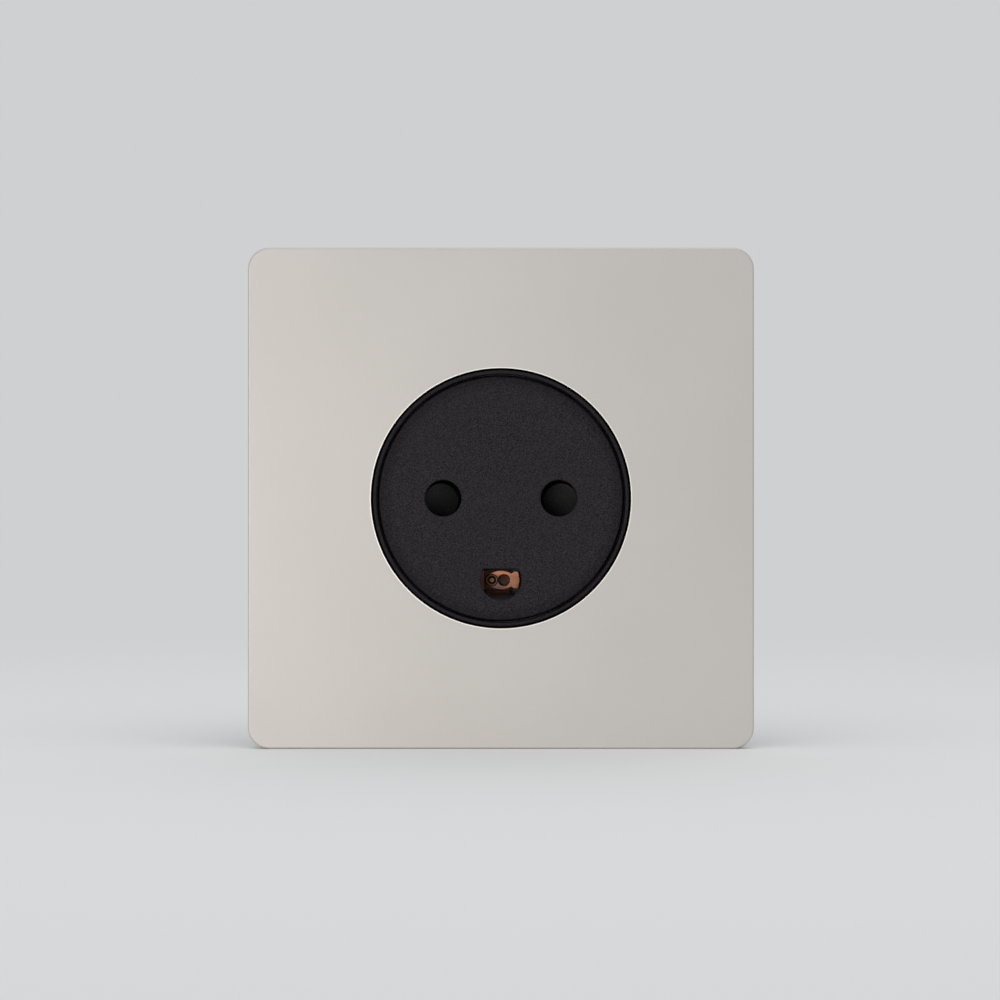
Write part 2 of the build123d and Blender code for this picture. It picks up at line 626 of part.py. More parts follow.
# Housing screws, driven from behind into the front's bosses
with BuildPart() as housing_screws:
    with BuildSketch(level(HOUSING_SEAT)):
        with GridLocations(2 * BOSS_X, 0, 2, 1):
            Circle(HOUSING_SCREW_RADIUS)
    extrude(amount=HOUSING_SCREW_TIP - HOUSING_SEAT)
    with BuildSketch(level(HOUSING_SEAT)):
        with GridLocations(2 * BOSS_X, 0, 2, 1):
            Circle(HOUSING_HEAD_RADIUS)
    extrude(amount=-HOUSING_HEAD)
    heads = housing_screws.faces().sort_by(Axis.Y)[-2:]
    fillet(heads.edges(), HOUSING_DOME)
    with BuildSketch(level(HOUSING_SEAT - HOUSING_HEAD)):
        with GridLocations(2 * BOSS_X, 0, 2, 1):
            Rectangle(2 * HOUSING_HEAD_RADIUS, SCREW_SLOT, rotation=HOUSING_SLOT_TURN)
    extrude(amount=HOUSING_HEAD / 2, mode=Mode.SUBTRACT)

# Base: flange, cup and block, with chambers open to the front
with BuildPart() as base:
    with BuildSketch(level(BASE_REAR)):
        RectangleRounded(BLOCK_SIZE, BLOCK_SIZE, BLOCK_CORNER)
    extrude(amount=BLOCK_FRONT - BASE_REAR)
    fillet(base.faces().sort_by(Axis.Y)[-1].edges(), BASE_EDGE)
    with BuildSketch(level(CUP_END)):
        Circle(CUP_RADIUS)
    extrude(amount=-CUP_END)
    with BuildSketch(level(0)):
        Circle(FLANGE_RADIUS)
    extrude(amount=-FLANGE_THICK)
    with BuildSketch(level(0)):
        Rectangle(KEY_WIDTH, 2 * KEY_RADIUS)
    extrude(amount=STRAP_THICK)
    with BuildSketch(level(GUIDE_BACK)):
        Circle(NEST_RADIUS)
    extrude(amount=STRAP_THICK - GUIDE_BACK, mode=Mode.SUBTRACT)
    # pin contact chambers, tail channels and live and neutral terminal chambers
    for side in (-1, 1):
        with BuildSketch(level(CONTACT_FLOOR)):
            with Locations((side * (BAND_INNER_X + BAND_OUTER_X) / 2, 0)):
                Rectangle(BAND_OUTER_X - BAND_INNER_X + 4 * SLACK, 2 * (LEAF_MOUTH[0] + 4 * SLACK))
            with Locations((side * TAIL_X, TAIL_END / 2)):
                Rectangle(TAIL_WIDTH + 2 * SLACK, TAIL_END + 2 * SLACK)
        extrude(amount=GUIDE_BACK - CONTACT_FLOOR, mode=Mode.SUBTRACT)
        with BuildSketch(level(TERMINAL_FLOOR)):
            with Locations((side * TAIL_X, LIVE_CAGE_Z)):
                Rectangle(CAGE_WIDTH + 2 * SLACK, CAGE_LENGTH + 2 * SLACK)
        extrude(amount=GUIDE_BACK - TERMINAL_FLOOR, mode=Mode.SUBTRACT)
        with BuildSketch(Plane.XY.offset(BLOCK_SIZE / 2)):
            with Locations((side * TAIL_X, -WIRE_LEVEL)):
                Circle(WIRE_RADIUS)
        extrude(amount=LIVE_CAGE_Z - BLOCK_SIZE / 2, mode=Mode.SUBTRACT)
    chamfer(hole_rims(base, Axis.Z, BLOCK_SIZE / 2), WIRE_FUNNEL)
    # earth chamber, riser and earth terminal chamber
    with BuildSketch(level(CLIP_FLOOR)):
        with Locations((0, CLIP_Z)):
            RectangleRounded(EARTH_CHAMBER_WIDTH, EARTH_CHAMBER_HEIGHT, EARTH_CHAMBER_CORNER)
    extrude(amount=GUIDE_BACK - CLIP_FLOOR, mode=Mode.SUBTRACT)
    with BuildSketch(level(CLIP_FLOOR)):
        with Locations((RIVET_X, CLIP_Z)):
            Circle(RIVET_TAIL_RADIUS + SLACK)
    extrude(amount=-RIVET_TAIL - SLACK, mode=Mode.SUBTRACT)
    with BuildSketch(level(CONTACT_FLOOR)):
        with Locations(((EARTH_TAIL_END - EARTH_CHAMBER_WIDTH / 2) / 2, CLIP_Z)):
            Rectangle(
                -EARTH_TAIL_END - EARTH_CHAMBER_WIDTH / 2 + 2 * SLACK, CLIP_STRIP_WIDTH + 2 * SLACK
            )
    extrude(amount=GUIDE_BACK - CONTACT_FLOOR, mode=Mode.SUBTRACT)
    with BuildSketch(level(TERMINAL_FLOOR)):
        with Locations((EARTH_CAGE_X, CLIP_Z)):
            Rectangle(CAGE_LENGTH + 2 * SLACK, CAGE_WIDTH + 2 * SLACK)
    extrude(amount=GUIDE_BACK - TERMINAL_FLOOR, mode=Mode.SUBTRACT)
    with BuildSketch(Plane.YZ.offset(-BLOCK_SIZE / 2)):
        with Locations((-WIRE_LEVEL, CLIP_Z)):
            Circle(WIRE_RADIUS)
    extrude(amount=BLOCK_SIZE / 2 + EARTH_CAGE_X, mode=Mode.SUBTRACT)
    chamfer(hole_rims(base, Axis.X, -BLOCK_SIZE / 2), WIRE_FUNNEL)
    # rear face: a sunk panel that leaves a border and rims round the openings
    with BuildSketch(level(BASE_REAR)):
        RectangleRounded(BLOCK_SIZE - 2 * PANEL_BORDER, BLOCK_SIZE - 2 * PANEL_BORDER, PANEL_CORNER)
        with Locations(*TERMINAL_PLACES):
            Circle(ACCESS_RADIUS + RIM_WIDTH, mode=Mode.SUBTRACT)
        with GridLocations(BLOCK_SIZE / 2 + CHANNEL_INNER_X, 0, 2, 1):
            Rectangle(
                BLOCK_SIZE / 2 - CHANNEL_INNER_X + 2 * RIM_WIDTH,
                2 * (CHANNEL_HALF_HEIGHT + RIM_WIDTH),
                mode=Mode.SUBTRACT,
            )
    extrude(amount=PANEL_DEPTH, mode=Mode.SUBTRACT)
    # access to the terminal screws, and the housing screws in their open channels
    with BuildSketch(level(BASE_REAR)):
        with Locations(*TERMINAL_PLACES):
            Circle(ACCESS_RADIUS)
    extrude(amount=TERMINAL_FLOOR - BASE_REAR, mode=Mode.SUBTRACT)
    with BuildSketch(level(BASE_REAR)):
        with GridLocations(BLOCK_SIZE / 2 + CHANNEL_INNER_X, 0, 2, 1):
            Rectangle(BLOCK_SIZE / 2 - CHANNEL_INNER_X, 2 * CHANNEL_HALF_HEIGHT)
    extrude(amount=HOUSING_SEAT - BASE_REAR, mode=Mode.SUBTRACT)
    with BuildSketch(level(HOUSING_SEAT)):
        with GridLocations(2 * BOSS_X, 0, 2, 1):
            Circle(HOUSING_CLEARANCE)
    extrude(amount=GUIDE_BACK - HOUSING_SEAT, mode=Mode.SUBTRACT)

pieces = {
    "cover_plate": cover_plate,
    "plate_carrier": plate_carrier,
    "mounting_strap": mounting_strap,
    "socket_front": socket_front,
    "shutter": shutter,
    "shutter_spring": shutter_spring,
    "shutter_guide": shutter_guide,
    "base": base,
    "live_contact": live_contact,
    "neutral_contact": neutral_contact,
    "live_contact_spring": live_contact_spring,
    "neutral_contact_spring": neutral_contact_spring,
    "earth_contact": earth_contact,
    "earth_strip": earth_strip,
    "earth_tail": earth_tail,
    "earth_rivet": earth_rivet,
    "live_terminal": live_terminal,
    "neutral_terminal": neutral_terminal,
    "earth_terminal": earth_terminal,
    "terminal_screws": terminal_screws,
    "housing_screws": housing_screws,
}
os.makedirs("parts", exist_ok=True)
for name, piece in pieces.items():
    piece.part.label = name
    export_step(piece.part, f"parts/{name}.step")
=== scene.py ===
import json
import math

import bpy
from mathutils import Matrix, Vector

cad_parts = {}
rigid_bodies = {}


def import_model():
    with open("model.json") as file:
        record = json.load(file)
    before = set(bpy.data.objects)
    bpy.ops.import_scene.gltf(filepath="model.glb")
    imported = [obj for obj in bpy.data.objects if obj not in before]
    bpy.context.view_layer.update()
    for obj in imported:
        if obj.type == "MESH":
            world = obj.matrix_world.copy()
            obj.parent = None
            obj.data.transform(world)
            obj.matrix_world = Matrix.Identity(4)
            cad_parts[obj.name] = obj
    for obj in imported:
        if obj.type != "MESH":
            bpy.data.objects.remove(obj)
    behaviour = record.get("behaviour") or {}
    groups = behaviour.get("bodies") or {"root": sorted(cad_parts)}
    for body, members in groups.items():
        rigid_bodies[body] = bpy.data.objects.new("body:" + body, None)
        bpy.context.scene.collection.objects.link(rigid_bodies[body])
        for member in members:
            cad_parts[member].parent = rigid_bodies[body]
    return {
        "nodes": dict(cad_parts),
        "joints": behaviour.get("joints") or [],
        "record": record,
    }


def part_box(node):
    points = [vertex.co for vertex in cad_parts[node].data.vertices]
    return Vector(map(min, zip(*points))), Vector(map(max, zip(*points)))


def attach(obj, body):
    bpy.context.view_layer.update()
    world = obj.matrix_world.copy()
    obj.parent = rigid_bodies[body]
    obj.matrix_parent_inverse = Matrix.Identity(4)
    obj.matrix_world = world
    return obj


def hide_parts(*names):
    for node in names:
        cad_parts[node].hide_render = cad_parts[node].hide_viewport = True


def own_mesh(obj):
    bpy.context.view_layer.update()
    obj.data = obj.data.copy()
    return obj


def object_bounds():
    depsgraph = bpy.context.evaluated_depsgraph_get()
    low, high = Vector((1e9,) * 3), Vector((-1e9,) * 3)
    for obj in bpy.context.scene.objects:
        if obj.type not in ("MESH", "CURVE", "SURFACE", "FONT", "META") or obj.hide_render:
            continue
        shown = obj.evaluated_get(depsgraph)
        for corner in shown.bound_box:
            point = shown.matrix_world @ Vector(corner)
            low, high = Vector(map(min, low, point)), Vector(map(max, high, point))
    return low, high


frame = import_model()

bl_info = {
    "name": "Wall Socket Looks",
    "version": (1, 0, 0),
    "blender": (4, 5, 0),
    "location": "3D View > Sidebar > Wall Socket",
    "description": "Finishes the wall socket's pieces, winds its spring, turns its screws and sets the stage",
    "category": "Object",
}

MM = 0.001
CAD_BOX = [list(corner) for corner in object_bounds()]
COLOURS = {material["slot"]: material["base_color"] for material in frame["record"]["materials"]}
FIXED_BODY = frame["joints"][0]["parent"]
GRAIN_TURN = (0.6, 0.9, 0.4)  # keeps the noise's lattice off the faces' axes
FLATTEN = (1.0, 0.0, 1.0)  # scale that leaves only the distance across the wall

# Radii about the insert's axis
COLLAR_RADIUS = 20.97 * MM
PLATE_HOLE_RADIUS = 21.3 * MM

# Turned pieces
HEAD_STEPS = 48  # corners round a screw head
THREAD_STEPS = 32  # corners in one turn of a thread
SPARE_TURNS = 4  # turns of thread that the cuts at both ends take off
MERGE_REACH = 0.0005 * MM  # corners closer than this become one
CUT_REACH = 0.0001 * MM  # corners closer than this to a cut lie on it

# Stage: sizes in metres, places from the insert's centre on the wall
KEY_PLACE = (-0.40, -0.85, -0.016)
KEY_SIZE = (0.5, 0.05)
KEY_COLOUR = (1.0, 0.93, 0.87)
TOP_PLACE = (0.05, -0.25, 0.8)
TOP_SIZE = (0.8, 0.6)
CAMERA_X = -0.16 * MM
CAMERA_Z = -0.28 * MM
SENSOR_WIDTH = 36.0  # of the camera, in millimetres
FLOOR_RADIUS = 6.0
FADE_FROM = 0.1  # the floor fades into the backdrop between these distances
FADE_TO = 0.45


def colour_property(slot, label, description):
    """A colour that starts as the record's colour of that slot."""
    return bpy.props.FloatVectorProperty(
        name=label, description=description, default=COLOURS[slot], size=3, min=0, max=1, subtype="COLOR"
    )


def length_property(label, description, default):
    """A length in metres."""
    return bpy.props.FloatProperty(
        name=label, description=description, default=default, min=0, precision=5, unit="LENGTH"
    )


def share_property(label, description, default):
    """A number from 0 to 1."""
    return bpy.props.FloatProperty(
        name=label, description=description, default=default, min=0, max=1, subtype="FACTOR"
    )


class FinishSettings(bpy.types.PropertyGroup):
    """Colours and surface grain of the finishes"""

    nickel: colour_property("satin_nickel", "Nickel", "Satin plating of the cover plate")
    nickel_roughness: share_property("Nickel roughness", "How far the satin plating scatters light", 0.52)
    moulding: colour_property("black_moulding", "Face", "Black moulding of the face and the collar")
    collar_shade: share_property("Collar shade", "Brightness of the collar, as a share of the face's", 0.65)
    shutter: colour_property("shutter_moulding", "Shutter", "Black moulding of the shutter and its guide")
    base: colour_property("base_moulding", "Base", "Dark moulding of the base")
    zinc: colour_property("zinc_plate", "Zinc", "Plating of the mounting strap")
    bronze: colour_property("contact_bronze", "Contact bronze", "Strip of the pin contacts")
    # on the clip, this copper is painted light where the mask lifts the dull copper
    copper: colour_property("earth_copper", "Earth copper", "Strip, rivet and rubbed clip in the earth hole")
    dull_copper: colour_property("dull_copper", "Dull copper", "Tarnished clip and tail of the earth contact")
    brass: colour_property("terminal_brass", "Brass", "Clamp cages of the terminals")
    spring: colour_property("spring_steel", "Spring steel", "Wire and clip springs")
    screw: colour_property("screw_steel", "Screw steel", "Plated screws")
    face_grain: length_property("Face grain", "Size of the grains on the face", 0.165 * MM)
    face_grain_depth: length_property("Face grain depth", "Height of the grains on the face", 0.02 * MM)


class HardwareSettings(bpy.types.PropertyGroup):
    """Sizes of the spring and the screws"""

    spring_wire: length_property("Spring wire", "Diameter of the shutter spring's wire", 0.45 * MM)
    spring_turns: bpy.props.FloatProperty(
        name="Spring turns", description="Working turns of the shutter spring", default=5.5, min=2
    )
    spring_closed_turns: bpy.props.FloatProperty(
        name="Closed turns", description="Closed turns at each end of the spring", default=1.25, min=0
    )
    terminal_head: length_property("Terminal screw head", "Radius of the head", 2.5 * MM)
    terminal_head_height: length_property("Terminal head height", "Height of the head", 1.6 * MM)
    terminal_thread: length_property("Terminal thread", "Outer radius of the thread", 1.6 * MM)
    terminal_pitch: length_property("Terminal pitch", "Pitch of the thread", 0.55 * MM)
    housing_head: length_property("Housing screw head", "Radius of the head", 2.5 * MM)
    housing_head_height: length_property("Housing head height", "Height of the head", 1.8 * MM)
    housing_thread: length_property("Housing thread", "Outer radius of the thread", 1.4 * MM)
    housing_pitch: length_property("Housing pitch", "Pitch of the coarse thread", 1.1 * MM)
    slot_width: length_property("Screw slot", "Width of the driver slots", 0.8 * MM)


class StageSettings(bpy.types.PropertyGroup):
    """Floor, light and camera"""

    backdrop: bpy.props.FloatVectorProperty(
        name="Backdrop",
        description="Pale colour of the surroundings",
        default=(0.622, 0.631, 0.638),
        subtype="COLOR",
    )
    floor: bpy.props.FloatVectorProperty(
        name="Floor", description="Colour of the floor", default=(0.92, 0.92, 0.92), subtype="COLOR"
    )
    key_power: bpy.props.FloatProperty(
        name="Key light",
        description="Power of the low, wide softbox at the front left",
        default=1.55,
        min=0,
        unit="POWER",
    )
    top_power: bpy.props.FloatProperty(
        name="Top light", description="Power of the softbox overhead", default=1.2, min=0, unit="POWER"
    )
    view_width: length_property("View width", "Width of the picture at the cover plate's front", 163.96 * MM)
    lens: bpy.props.FloatProperty(
        name="Lens", description="Focal length of the camera", default=100, min=10, unit="CAMERA"
    )


class SocketSettings(bpy.types.PropertyGroup):
    """All settings of the wall socket"""

    finish: bpy.props.PointerProperty(type=FinishSettings)
    hardware: bpy.props.PointerProperty(type=HardwareSettings)
    stage: bpy.props.PointerProperty(type=StageSettings)


# Shader nodes


def node(tree, kind, values=None, **properties):
    """A new node with its properties and the values of its unlinked sockets."""
    made = tree.nodes.new(kind)
    for name, value in properties.items():
        setattr(made, name, value)
    for name, value in (values or {}).items():
        made.inputs[name].default_value = value
    return made


def feed(tree, target, source):
    """Links a socket, or sets a plain value."""
    if isinstance(source, bpy.types.NodeSocket):
        tree.links.new(source, target)
    else:
        target.default_value = source


def maths(tree, operation, first, second=0.0):
    """One arithmetic step on values or sockets."""
    made = node(tree, "ShaderNodeMath", operation=operation)
    feed(tree, made.inputs[0], first)
    feed(tree, made.inputs[1], second)
    return made.outputs[0]


def squared(tree, value):
    """A value times itself."""
    return maths(tree, "MULTIPLY", value, value)


def spread(tree, source, low, high, to_low=0.0, to_high=1.0):
    """A smooth step of a value from one range to another."""
    made = node(tree, "ShaderNodeMapRange", interpolation_type="SMOOTHSTEP")
    feed(tree, made.inputs["Value"], source)
    feed(tree, made.inputs["From Min"], low)
    feed(tree, made.inputs["From Max"], high)
    feed(tree, made.inputs["To Min"], to_low)
    feed(tree, made.inputs["To Max"], to_high)
    return made.outputs["Result"]


def blend_colours(tree, share, first, second, way="MIX"):
    """A mix of two colours."""
    made = node(tree, "ShaderNodeMix", data_type="RGBA", blend_type=way)
    feed(tree, made.inputs["Factor"], share)
    feed(tree, made.inputs["A"], first)
    feed(tree, made.inputs["B"], second)
    return made.outputs["Result"]


def place(tree):
    """The point of the piece in its own frame."""
    return node(tree, "ShaderNodeTexCoord").outputs["Object"]


def coordinates(tree):
    """The point of the piece as separate X, Y and Z."""
    made = node(tree, "ShaderNodeSeparateXYZ")
    tree.links.new(place(tree), made.inputs[0])
    return made.outputs


def stretched(tree, vector, scale):
    """Coordinates scaled differently along each axis."""
    made = node(tree, "ShaderNodeMapping", {"Scale": scale})
    tree.links.new(vector, made.inputs["Vector"])
    return made.outputs["Vector"]


def distance_from(tree, middle, scale=FLATTEN):
    """The distance from a point, with each axis scaled."""
    moved = node(tree, "ShaderNodeMapping", {"Location": -Vector(middle)})
    tree.links.new(place(tree), moved.inputs["Vector"])
    made = node(tree, "ShaderNodeVectorMath", operation="LENGTH")
    tree.links.new(stretched(tree, moved.outputs["Vector"], scale), made.inputs[0])
    return made.outputs["Value"]


def from_axis(tree):
    """The distance from the axis through the insert's centre."""
    return distance_from(tree, (0, 0, 0))


def noise(tree, vector, scale, detail=2.0, roughness=0.5):
    """Cloudy noise, from 0 to 1."""
    made = node(tree, "ShaderNodeTexNoise", {"Detail": detail, "Roughness": roughness})
    tree.links.new(vector, made.inputs["Vector"])
    feed(tree, made.inputs["Scale"], scale)
    return made.outputs["Fac"]


def new_group(name, inputs, outputs):
    """An empty shader group with float inputs, and outputs of the given kinds."""
    group = bpy.data.node_groups.new(name, "ShaderNodeTree")
    for label, default in inputs.items():
        socket = group.interface.new_socket(label, in_out="INPUT", socket_type="NodeSocketFloat")
        socket.default_value = default
    for label, kind in outputs.items():
        group.interface.new_socket(label, in_out="OUTPUT", socket_type=kind)
    return group, node(group, "NodeGroupInput").outputs, node(group, "NodeGroupOutput").inputs


def moulded_grain_group():
    """Fine rounded grains of an eroded mould, with a speckle that follows them."""
    tree, given, made = new_group(
        "moulded grain", {"Size": 0.3 * MM}, {"Height": "NodeSocketFloat", "Speckle": "NodeSocketFloat"}
    )
    turned = node(tree, "ShaderNodeMapping", {"Rotation": GRAIN_TURN})
    tree.links.new(place(tree), turned.inputs["Vector"])
    point = turned.outputs["Vector"]
    scale = maths(tree, "DIVIDE", 1.0, given["Size"])
    cloud = noise(tree, point, scale, detail=2.0, roughness=0.6)
    pits = node(tree, "ShaderNodeTexVoronoi", {"Randomness": 1.0}, feature="F1")
    tree.links.new(point, pits.inputs["Vector"])
    tree.links.new(maths(tree, "MULTIPLY", scale, 0.8), pits.inputs["Scale"])
    half_pits = maths(tree, "MULTIPLY", pits.outputs["Distance"], 0.5)
    tree.links.new(maths(tree, "ADD", cloud, half_pits), made["Height"])
    tree.links.new(spread(tree, cloud, 0.38, 0.62), made["Speckle"])
    return tree


def worn_edges_group():
    """A rounded normal at the edges, and a mask of where hands and tools have rubbed them."""
    tree, given, made = new_group(
        "worn edges", {"Radius": 0.1 * MM}, {"Wear": "NodeSocketFloat", "Normal": "NodeSocketVector"}
    )
    rounded = node(tree, "ShaderNodeBevel", samples=3)
    tree.links.new(given["Radius"], rounded.inputs["Radius"])
    facing = node(tree, "ShaderNodeVectorMath", operation="DOT_PRODUCT")
    tree.links.new(rounded.outputs["Normal"], facing.inputs[0])
    tree.links.new(node(tree, "ShaderNodeNewGeometry").outputs["True Normal"], facing.inputs[1])
    turned = maths(tree, "SUBTRACT", 1.0, facing.outputs["Value"])
    patches = noise(tree, place(tree), 900.0, detail=3.0)
    edge = spread(tree, turned, 0.01, 0.12)
    tree.links.new(maths(tree, "MULTIPLY", edge, spread(tree, patches, 0.3, 0.7, 0.35, 1.0)), made["Wear"])
    tree.links.new(rounded.outputs["Normal"], made["Normal"])
    return tree


def rolled_streaks_group():
    """Fine lines along X or Z that a rolling mill leaves on strip and sheet."""
    tree, given, made = new_group(
        "rolled streaks",
        {"Along X": 1.0, "Fineness": 9000.0},
        {"Height": "NodeSocketFloat", "Streak": "NodeSocketFloat"},
    )
    point = place(tree)
    lines = []
    for scale in ((0.02, 1.0, 1.0), (1.0, 1.0, 0.02)):
        lines.append(noise(tree, stretched(tree, point, scale), given["Fineness"], detail=2.0))
    chosen = node(tree, "ShaderNodeMix", data_type="FLOAT")
    tree.links.new(given["Along X"], chosen.inputs["Factor"])
    tree.links.new(lines[1], chosen.inputs["A"])
    tree.links.new(lines[0], chosen.inputs["B"])
    tree.links.new(chosen.outputs["Result"], made["Height"])
    tree.links.new(spread(tree, chosen.outputs["Result"], 0.35, 0.65), made["Streak"])
    return tree


def handling_group():
    """Soft haze from handling and a few thin scratches."""
    tree, given, made = new_group(
        "handling", {"Size": 12 * MM}, {"Haze": "NodeSocketFloat", "Scratches": "NodeSocketFloat"}
    )
    point = place(tree)
    scale = maths(tree, "DIVIDE", 1.0, given["Size"])
    tree.links.new(spread(tree, noise(tree, point, scale, detail=4.0), 0.3, 0.7), made["Haze"])
    drawn_out = stretched(tree, point, (1.0, 1.0, 0.25))
    wander = noise(tree, drawn_out, maths(tree, "MULTIPLY", scale, 3.0), detail=1.0)
    offset = maths(tree, "ABSOLUTE", maths(tree, "SUBTRACT", wander, 0.5))
    breaks = spread(tree, noise(tree, point, maths(tree, "MULTIPLY", scale, 7.0)), 0.5, 0.62)
    tree.links.new(maths(tree, "MULTIPLY", spread(tree, offset, 0.004, 0.0), breaks), made["Scratches"])
    return tree


def effect(tree, maker, **values):
    """A group's node in this material. Groups are built once."""
    name = maker.__name__.removesuffix("_group").replace("_", " ")
    made = node(tree, "ShaderNodeGroup", node_tree=bpy.data.node_groups.get(name) or maker())
    for label, value in values.items():
        made.inputs[label.replace("_", " ")].default_value = value
    return made.outputs


def start_material(slot):
    """A new material named for its slot, with its node tree and its shader."""
    material = bpy.data.materials.new(slot)
    material.use_nodes = True
    return material, material.node_tree, material.node_tree.nodes["Principled BSDF"]


def bump(tree, shader, height, depth, normal):
    """Raises the surface by a height of this depth in metres, over rounded edges."""
    made = node(tree, "ShaderNodeBump", {"Strength": 1.0, "Distance": depth})
    tree.links.new(height, made.inputs["Height"])
    tree.links.new(normal, made.inputs["Normal"])
    tree.links.new(made.outputs["Normal"], shader.inputs["Normal"])


def opaque(colour, shade=1.0):
    """A colour with its alpha, made darker or lighter."""
    return [min(channel * shade, 1.0) for channel in colour] + [1.0]


def tinted(colour, tint):
    """A colour with each channel made weaker or stronger."""
    return [channel * share for channel, share in zip(colour, tint)]


def polished(tree, rough, worn, share):
    """A roughness that falls where the surface is worn."""
    return maths(tree, "SUBTRACT", rough, maths(tree, "MULTIPLY", worn, share))


# Finishes


def satin_nickel(finish):
    """Blasted and plated sheet: cool haze, a silky grain, rubbed edges, a painted highlight round the hole
    and painted shade on its wall.
    """
    material, tree, shader = start_material("satin_nickel")
    grain = effect(tree, moulded_grain_group, Size=0.09 * MM)
    hands = effect(tree, handling_group, Size=26 * MM)
    edges = effect(tree, worn_edges_group, Radius=0.12 * MM)
    cool = tinted(finish.nickel, (1.01, 1.028, 1.055))
    haze = blend_colours(tree, hands["Haze"], opaque(cool, 1.01), opaque(cool, 0.985))
    reach = from_axis(tree)
    # painted highlight: a bright line round the hole's edge, carried in the wear mask too
    rim = spread(tree, reach, PLATE_HOLE_RADIUS + 0.27 * MM, PLATE_HOLE_RADIUS + 0.17 * MM)
    worn = maths(tree, "MAXIMUM", maths(tree, "MULTIPLY", edges["Wear"], 0.3), rim)
    wear_and_rim_highlight = blend_colours(tree, worn, haze, opaque(finish.nickel, 1.6))
    # painted shade on the hole's wall and chamfer
    cut = spread(tree, reach, PLATE_HOLE_RADIUS + 0.07 * MM, PLATE_HOLE_RADIUS + 0.04 * MM)
    feed(tree, shader.inputs["Base Color"], blend_colours(tree, cut, wear_and_rim_highlight, opaque(finish.nickel, 0.06)))
    roughness = finish.nickel_roughness
    satin = spread(tree, grain["Speckle"], 0, 1, roughness - 0.03, roughness + 0.03)
    feed(tree, shader.inputs["Roughness"], polished(tree, satin, worn, 0.16))
    shader.inputs["Metallic"].default_value = 1.0
    bump(tree, shader, grain["Height"], 0.0015 * MM, edges["Normal"])
    return material


def face_rim(tree):
    """Painted shade: rises on the face towards its rim, next to the collar, and ends at the rounded edge."""
    shade_from, shade_to = 17.0 * MM, 20.2 * MM
    edge_from, edge_to = 19.65 * MM, 19.95 * MM
    reach = from_axis(tree)
    inner = spread(tree, reach, shade_from, shade_to)
    return maths(tree, "MULTIPLY", inner, spread(tree, reach, edge_to, edge_from))


def collar_gap(tree):
    """Painted shade: 1 in the gap between the collar and the plate, and 0 elsewhere."""
    reach = from_axis(tree)
    inner = spread(tree, reach, COLLAR_RADIUS - 0.04 * MM, COLLAR_RADIUS + 0.03 * MM)
    outer = spread(tree, reach, PLATE_HOLE_RADIUS + 0.4 * MM, PLATE_HOLE_RADIUS + 0.3 * MM)
    return maths(tree, "MULTIPLY", inner, outer)


def pin_rubbed(tree):
    """Painted light: 1 on the sill below the earth hole, and 0 elsewhere."""
    face_front, sill_top, half_width = -3.2 * MM, -15.95 * MM, 5 * MM
    point = coordinates(tree)
    behind = spread(tree, point["Y"], face_front + 1.0 * MM, face_front + 1.4 * MM)
    low = spread(tree, point["Z"], sill_top + 0.95 * MM, sill_top + 0.15 * MM)
    middle = spread(tree, maths(tree, "ABSOLUTE", point["X"]), half_width + 1 * MM, half_width)
    return maths(tree, "MULTIPLY", maths(tree, "MULTIPLY", behind, low), middle)


def deep_in_chamber(tree):
    """Painted shade: near 0 on the pads' fronts, more at their tops and 1 on the bar beside them."""
    pad_x, pad_z, pad_radius = 9.9 * MM, -0.3 * MM, 2.85 * MM
    near_top = 2.5 * MM
    point = coordinates(tree)
    across = maths(tree, "SUBTRACT", maths(tree, "ABSOLUTE", point["X"]), pad_x)
    up = maths(tree, "SUBTRACT", point["Z"], pad_z)
    reach = maths(tree, "SQRT", maths(tree, "ADD", squared(tree, across), squared(tree, up)))
    beyond = spread(tree, reach, pad_radius - 0.05 * MM, pad_radius + 0.01 * MM)
    return maths(tree, "MAXIMUM", beyond, spread(tree, point["Z"], 0, near_top, 0, 0.3))


def moulding(
    slot, colour, grain_size, grain_depth, roughness, gloss, shade=None, darkest=1.0, contrast=0.45, painted_light=None
):
    """Matt moulded plastic with a grain, a paler speckle, slightly polished edges and, where masks are given,
    painted shade and painted light.
    """
    material, tree, shader = start_material(slot)
    grain = effect(tree, moulded_grain_group, Size=grain_size)
    hands = effect(tree, handling_group, Size=9 * MM)
    edges = effect(tree, worn_edges_group, Radius=0.1 * MM)
    dark, pale = opaque(colour, 1 - contrast), opaque(colour, 1 + contrast)
    speckled = blend_colours(tree, grain["Speckle"], dark, pale)
    hazed = blend_colours(tree, maths(tree, "MULTIPLY", hands["Haze"], 0.25), speckled, opaque(colour, 0.85))
    worn = maths(tree, "MULTIPLY", edges["Wear"], 0.35)
    rubbed = blend_colours(tree, worn, hazed, opaque(colour, 1.7))
    # painted shade: the mask darkens the colour and dims the reflection
    if shade:
        mask = shade(tree)
        rubbed = blend_colours(tree, mask, rubbed, opaque([darkest] * 3), "MULTIPLY")
        gloss = spread(tree, mask, 0, 1, gloss, gloss * darkest)
    # painted light: the mask lightens the colour well past the plastic's own
    if painted_light:
        rubbed = blend_colours(tree, painted_light(tree), rubbed, opaque(colour, 2.2))
    feed(tree, shader.inputs["Base Color"], rubbed)
    matt = spread(tree, grain["Speckle"], 0, 1, roughness + 0.06, roughness - 0.06)
    feed(tree, shader.inputs["Roughness"], polished(tree, matt, worn, 0.3))
    feed(tree, shader.inputs["Specular IOR Level"], gloss)
    bump(tree, shader, grain["Height"], grain_depth, edges["Normal"])
    return material


